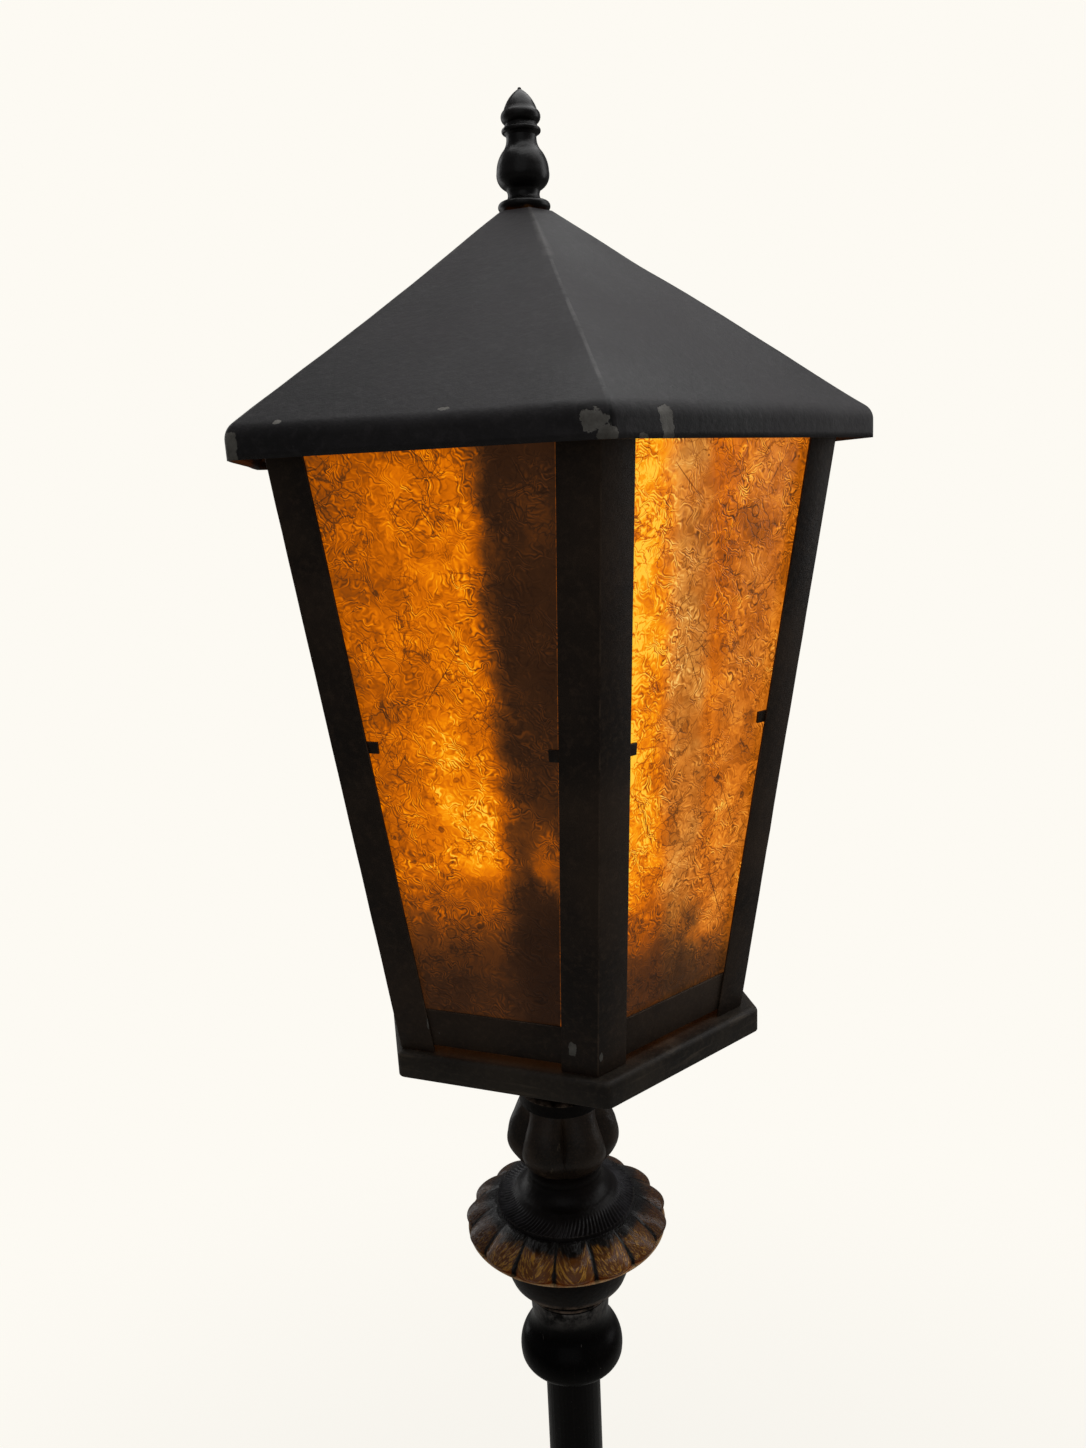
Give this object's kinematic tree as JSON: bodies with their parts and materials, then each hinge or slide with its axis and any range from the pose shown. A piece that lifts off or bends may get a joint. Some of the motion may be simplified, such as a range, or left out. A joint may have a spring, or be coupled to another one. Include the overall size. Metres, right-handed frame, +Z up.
{
  "type": "floor lamp",
  "caption": "Floor lamp with a hexagonal sheet-metal and mica lantern on a turned stem with a gadrooned collar, round pole and weighted base.",
  "frame": {"origin": "on the floor, on the lamp's axis, under the felt pad", "axes": "+Z up along the pole; -Y out of the middle of one side of the lantern, towards the front; +X to the right seen from the front; the cord inlet is at +Y"},
  "size_m": [0.324, 0.284, 1.6773],
  "materials": {
    "base_iron": "satin",
    "felt": "matte",
    "weight_iron": "matte",
    "plated_steel": "satin",
    "bushing": "matte",
    "pole_black": "gloss",
    "cup_black": "satin",
    "gadroon_paint": "satin",
    "neck_black": "satin",
    "knuckle_black": "satin",
    "tray_iron": "satin",
    "frame_iron": "satin",
    "mica": "satin",
    "clip_iron": "satin",
    "roof_iron": "satin",
    "cluster_brass": "satin",
    "socket_brass": "satin",
    "porcelain": "gloss",
    "bulb_cap": "satin",
    "bulb_glass": "frosted",
    "finial_black": "satin",
    "insert_brass": "satin"
  },
  "bodies": {
    "stand": {"base_casting": "base_iron", "felt_pad": "felt", "base_weight": "weight_iron", "base_washer": "plated_steel", "base_nut": "plated_steel", "cord_bushing": "bushing", "pole_tube": "pole_black", "through_pipe": "plated_steel", "stem_ball": "pole_black", "stem_cup": "cup_black", "gadroon_collar": "gadroon_paint", "stem_neck": "neck_black", "lobed_knuckle": "knuckle_black", "tray_spacer": "neck_black", "tray": "tray_iron", "tray_washer": "plated_steel", "cluster_body": "cluster_brass", "socket_cap_1": "socket_brass", "socket_cap_2": "socket_brass", "socket_core_1": "porcelain", "socket_core_2": "porcelain", "socket_shell_1": "socket_brass", "socket_shell_2": "socket_brass", "riser_rod": "plated_steel", "rod_nut": "plated_steel"},
    "shade": {"corner_post_1": "frame_iron", "corner_post_2": "frame_iron", "corner_post_3": "frame_iron", "corner_post_4": "frame_iron", "corner_post_5": "frame_iron", "corner_post_6": "frame_iron", "bottom_rail_1": "frame_iron", "bottom_rail_2": "frame_iron", "bottom_rail_3": "frame_iron", "bottom_rail_4": "frame_iron", "bottom_rail_5": "frame_iron", "bottom_rail_6": "frame_iron", "top_rail_1": "frame_iron", "top_rail_2": "frame_iron", "top_rail_3": "frame_iron", "top_rail_4": "frame_iron", "top_rail_5": "frame_iron", "top_rail_6": "frame_iron", "mica_panel_1": "mica", "mica_panel_2": "mica", "mica_panel_3": "mica", "mica_panel_4": "mica", "mica_panel_5": "mica", "mica_panel_6": "mica", "mica_clips": "clip_iron", "roof": "roof_iron", "roof_washer": "plated_steel"},
    "finial_thread": {"finial_insert": "insert_brass"},
    "finial_knob": {"finial": "finial_black"},
    "bulb_1": {"bulb_base_1": "bulb_cap", "bulb_glass_1": "bulb_glass"},
    "bulb_2": {"bulb_base_2": "bulb_cap", "bulb_glass_2": "bulb_glass"}
  },
  "joints": [
    {"name": "shade_lift", "type": "slide", "parent": "stand", "child": "shade", "axis": [0, 0, 1], "range_m": [0, 0.42]},
    {"name": "finial_rise", "type": "slide", "parent": "shade", "child": "finial_thread", "axis": [0, 0, 1], "range_m": [0, 0.0095]},
    {"name": "finial_turn", "type": "hinge", "parent": "finial_thread", "child": "finial_knob", "pos_m": [0, 0, 1.63], "axis": [0, 0, 1], "range_deg": [0, 3600]},
    {"name": "bulb_1_lift", "type": "slide", "parent": "stand", "child": "bulb_1", "axis": [0, 0, 1], "range_m": [0, 0.035]},
    {"name": "bulb_2_lift", "type": "slide", "parent": "stand", "child": "bulb_2", "axis": [0, 0, 1], "range_m": [0, 0.035]}
  ],
  "couplings": [
    {"joint": "finial_rise", "follows": "finial_turn", "m_per_rad": 0.00014961}
  ]
}
